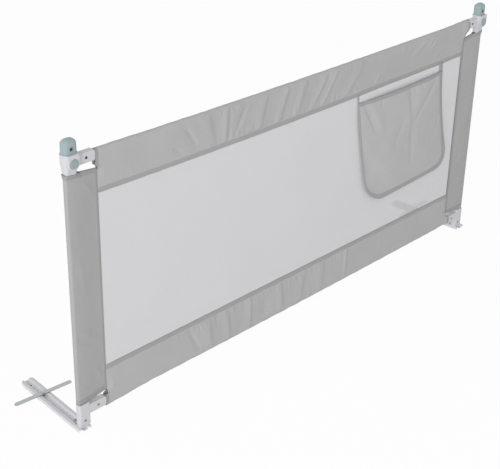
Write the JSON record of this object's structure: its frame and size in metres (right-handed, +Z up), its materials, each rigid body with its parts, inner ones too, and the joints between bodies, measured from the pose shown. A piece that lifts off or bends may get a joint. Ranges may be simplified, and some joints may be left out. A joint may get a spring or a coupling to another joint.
{
  "type": "bed guard rail",
  "caption": "Upright cloth and net guard rail for one side of a bed, on feet that slide under the mattress; its top rail drops when the buttons are pressed.",
  "frame": {"origin": "on the ground, at the middle of the box round the part", "axes": "+X along the rail to the right as seen from outside, +Y towards the bed, +Z up"},
  "size_m": [1.9422, 0.315, 0.8763],
  "materials": {
    "white_plastic": "white moulded nylon, fine satin",
    "teal_plastic": "pale teal moulding, soft gloss",
    "button_plastic": "pale teal moulding, darker",
    "guide_plastic": "dark grey running plastic",
    "grey_cloth": "grey woven polyester, matt",
    "pale_net": "pale grey knitted net",
    "tube_aluminium": "drawn tube, satin",
    "painted_steel": "white powder coat on sheet steel",
    "bright_steel": "bare zinc-plated steel",
    "spring_steel": "spring wire"
  },
  "bodies": {
    "stand": {"left_foot": "painted_steel", "right_foot": "painted_steel", "left_base": "white_plastic", "right_base": "white_plastic", "left_lower_tube": "tube_aluminium", "right_lower_tube": "tube_aluminium", "left_tube_bush": "guide_plastic", "right_tube_bush": "guide_plastic", "left_base_arm_screw": "bright_steel", "right_base_arm_screw": "bright_steel", "left_base_screw": "bright_steel", "right_base_screw": "bright_steel", "left_foot_screw": "bright_steel", "right_foot_screw": "bright_steel", "left_pivot_rivet": "bright_steel", "right_pivot_rivet": "bright_steel", "left_sleeve": "grey_cloth", "right_sleeve": "grey_cloth", "bottom_rail_left": "tube_aluminium", "bottom_rail_right": "tube_aluminium", "bottom_rail_joiner": "guide_plastic", "bottom_band": "grey_cloth", "mesh_window": "pale_net"},
    "drop_side": {"left_top_fitting": "white_plastic", "right_top_fitting": "white_plastic", "left_cap": "teal_plastic", "right_cap": "teal_plastic", "left_cap_screw": "bright_steel", "right_cap_screw": "bright_steel", "left_top_arm_screw": "bright_steel", "right_top_arm_screw": "bright_steel", "left_upper_tube": "tube_aluminium", "right_upper_tube": "tube_aluminium", "left_guide_shoe": "guide_plastic", "right_guide_shoe": "guide_plastic", "left_button_spring": "spring_steel", "right_button_spring": "spring_steel", "top_rail_left": "tube_aluminium", "top_rail_right": "tube_aluminium", "top_rail_joiner": "guide_plastic", "top_band": "grey_cloth", "pocket_back": "pale_net", "pocket_front": "grey_cloth"},
    "left_push": {"left_button": "button_plastic"},
    "right_push": {"right_button": "button_plastic"},
    "left_strip": {"left_cross_bar": "bright_steel"},
    "right_strip": {"right_cross_bar": "bright_steel"}
  },
  "joints": [
    {"name": "lift", "type": "slide", "parent": "stand", "child": "drop_side", "axis": [0, 0, -1], "range_m": [0, 0.28], "deforming": ["mesh_window", "left_sleeve", "right_sleeve"]},
    {"name": "left_press", "type": "slide", "parent": "drop_side", "child": "left_push", "axis": [0, 1, 0], "range_m": [0, 0.005], "stiffness_N_per_m": 600, "springref_m": -0.004, "deforming": ["left_button_spring"]},
    {"name": "right_press", "type": "slide", "parent": "drop_side", "child": "right_push", "axis": [0, 1, 0], "range_m": [0, 0.005], "stiffness_N_per_m": 600, "springref_m": -0.004, "deforming": ["right_button_spring"]},
    {"name": "left_bar_turn", "type": "hinge", "parent": "stand", "child": "left_strip", "pos_m": [-0.87744, 0.06326, 0.0105], "axis": [0, 0, 1], "range_deg": [0, 95]},
    {"name": "right_bar_turn", "type": "hinge", "parent": "stand", "child": "right_strip", "pos_m": [0.87744, 0.06326, 0.0105], "axis": [0, 0, 1], "range_deg": [-95, 0]}
  ]
}
